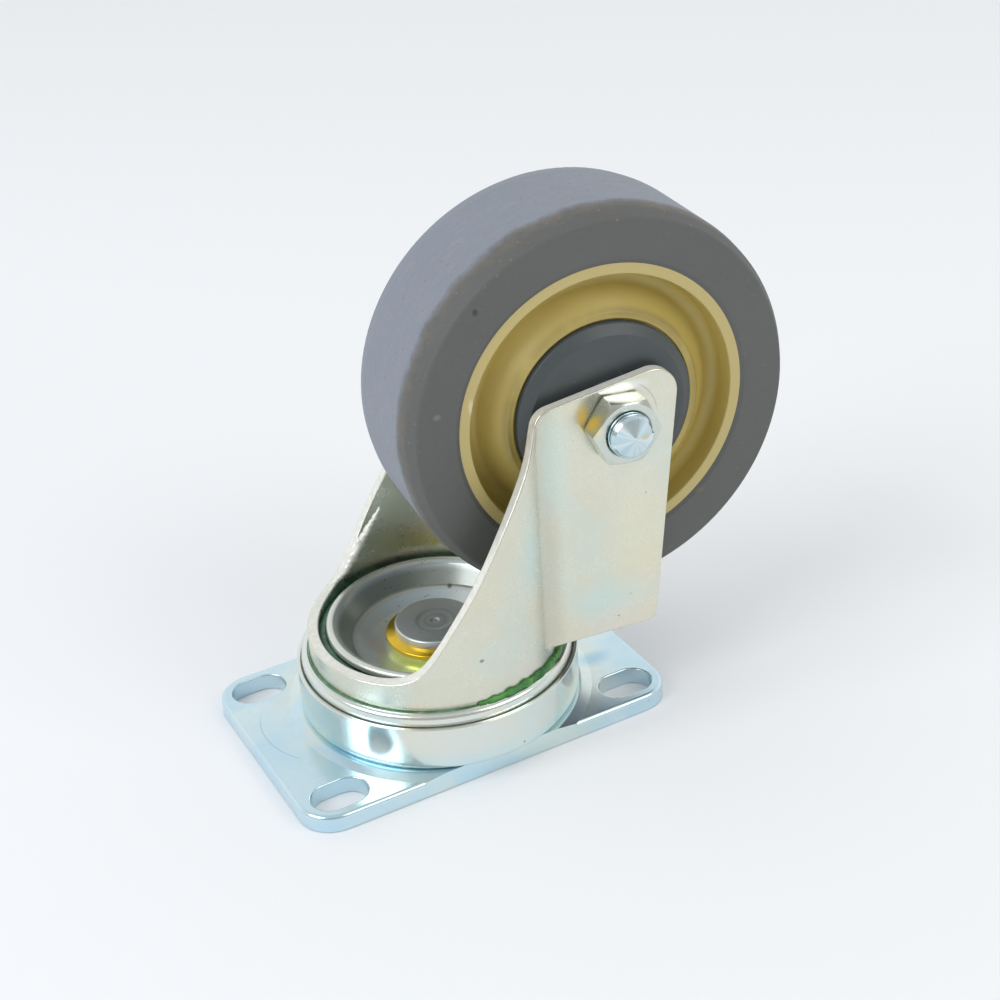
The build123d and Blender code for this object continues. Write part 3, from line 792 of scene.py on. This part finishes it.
def edge_burrs(finish):
    """Torn ridge that the shearing tool left along the far cheek's front edge."""
    edge_line = (
        (-17.9, 25.0), (-16.2, 25.9), (-14.4, 27.1), (-12.7, 28.9), (-11.2, 30.8),
        (-9.9, 32.8), (-8.7, 34.8), (-7.4, 36.8), (-6.2, 38.8), (-4.9, 40.8), (-3.6, 42.8),
    )
    flakes_between = 3
    flake_count = flakes_between * (len(edge_line) - 1)
    flakes = []
    for (ahead, height), (next_ahead, next_height) in zip(edge_line, edge_line[1:]):
        for step in range(flakes_between):
            k = len(flakes)
            part = step / flakes_between
            middle = sin(pi * k / (flake_count - 1))
            size = (0.55 + 0.75 * middle**1.5) * (1.0 + 0.16 * sin(k * 2.7) + 0.12 * sin(k * 4.9))
            out = 0.15 + 0.55 * middle**2
            here = place_on_fork(
                (ahead + part * (next_ahead - ahead) - 0.85 * out) * MM,
                -CHEEK_MIDDLE,
                (height + part * (next_height - height) + 0.5 * out) * MM,
            )
            bpy.ops.mesh.primitive_ico_sphere_add(subdivisions=2, radius=size * MM, location=here)
            flake = bpy.context.object
            flake.rotation_euler = (0.0, 0.3 * sin(k), SWIVEL_ANGLE)
            flake.scale = (0.75, min(1.0, 1.15 / size), 1.0)
            flakes.append(flake)
    burrs = joined("edge_burrs", flakes)
    one_skin(burrs, 0.22 * MM)
    apply_all(burrs)
    ride_with(burrs, finish, "fork")


def give(finish, *names):
    """Give CAD pieces a finish."""
    for name in names:
        slots = nodes[name].data.materials
        slots.clear()
        slots.append(finish.material)


bpy.context.scene.view_settings.view_transform = "Standard"
add_camera()
add_floor()
add_world()
add_softbox("left_lamp", (-1.0, -0.10, 0.80), 3.1, (0.97, 1.0, 1.05))
add_softbox("right_lamp", (0.53, -0.85, 0.75), 2.0, (1.0, 0.98, 0.94))

gold_zinc = finished(zinc("gold_zinc", (0.76, 0.48, 0.03), (0.84, 0.62, 0.09), (0.62, 0.33, 0.03), 0.20))
collar_zinc = finished(zinc("collar_zinc", (0.64, 0.70, 0.14), (0.76, 0.74, 0.30), (0.44, 0.66, 0.14), 0.22))
ball_steel = finished(zinc("ball_steel", (0.72, 0.72, 0.72), (0.74, 0.73, 0.71), (0.70, 0.72, 0.74), 0.12))
bolt_zinc = bolt_metal()
bright_grease = grease("bright_grease", (0.06, 0.27, 0.045), (0.012, 0.12, 0.02), (0.17, 0.42, 0.12))
dark_grease = grease("dark_grease", (0.05, 0.17, 0.10), (0.015, 0.055, 0.03), (0.12, 0.26, 0.17))
lip_dirt = grease("lip_dirt", (0.16, 0.16, 0.13), (0.08, 0.08, 0.07), (0.26, 0.26, 0.22))
pale_grease = grease("pale_grease", (0.13, 0.30, 0.19), (0.05, 0.15, 0.09), (0.34, 0.48, 0.36))

give(plate_metal(), "mounting_plate")
give(cup_metal(), "outer_cup", "shoulder_ring")
give(yoke_metal(), "yoke")
give(bowl_metal(), "bowl_race", "race_spacer")
give(gold_zinc, "kingpin_washer")
give(collar_zinc, "clamp_collar")
give(head_metal(), "kingpin")
give(nut_metal(), "lock_nut", "axle_sleeve")
give(bolt_zinc, "axle_bolt")
give(ball_steel, "lower_balls", "upper_balls", "near_bearing_balls", "far_bearing_balls")
give(ball_steel, "near_inner_race", "far_inner_race", "near_outer_race", "far_outer_race")
give(core_moulding(), "wheel_core")
give(guard_moulding(), "near_thread_guard", "far_thread_guard")
give(rubber(), "tyre")

grease_ring(
    "shoulder_grease", pale_grease, radius=GREASE_RADIUS, height=SHOULDER_TOP - 0.28 * MM,
    thickness=0.34 * MM, wobble=0.05 * MM,
)
grease_ring(
    "bowl_grease", dark_grease, radius=BOWL_RADIUS + 0.65 * MM, height=BOWL_TOP - 2.5 * MM,
    thickness=1.25 * MM, wobble=0.16 * MM, squash=0.7,
)
grease_ring(
    "lip_film", lip_dirt, radius=CUP_RADIUS - 1.06 * MM, height=CUP_TOP - 0.42 * MM,
    thickness=0.20 * MM, wobble=0.03 * MM,
)
grease_smear(bright_grease)
bolt_thread(bolt_zinc)
edge_burrs(torn_metal())
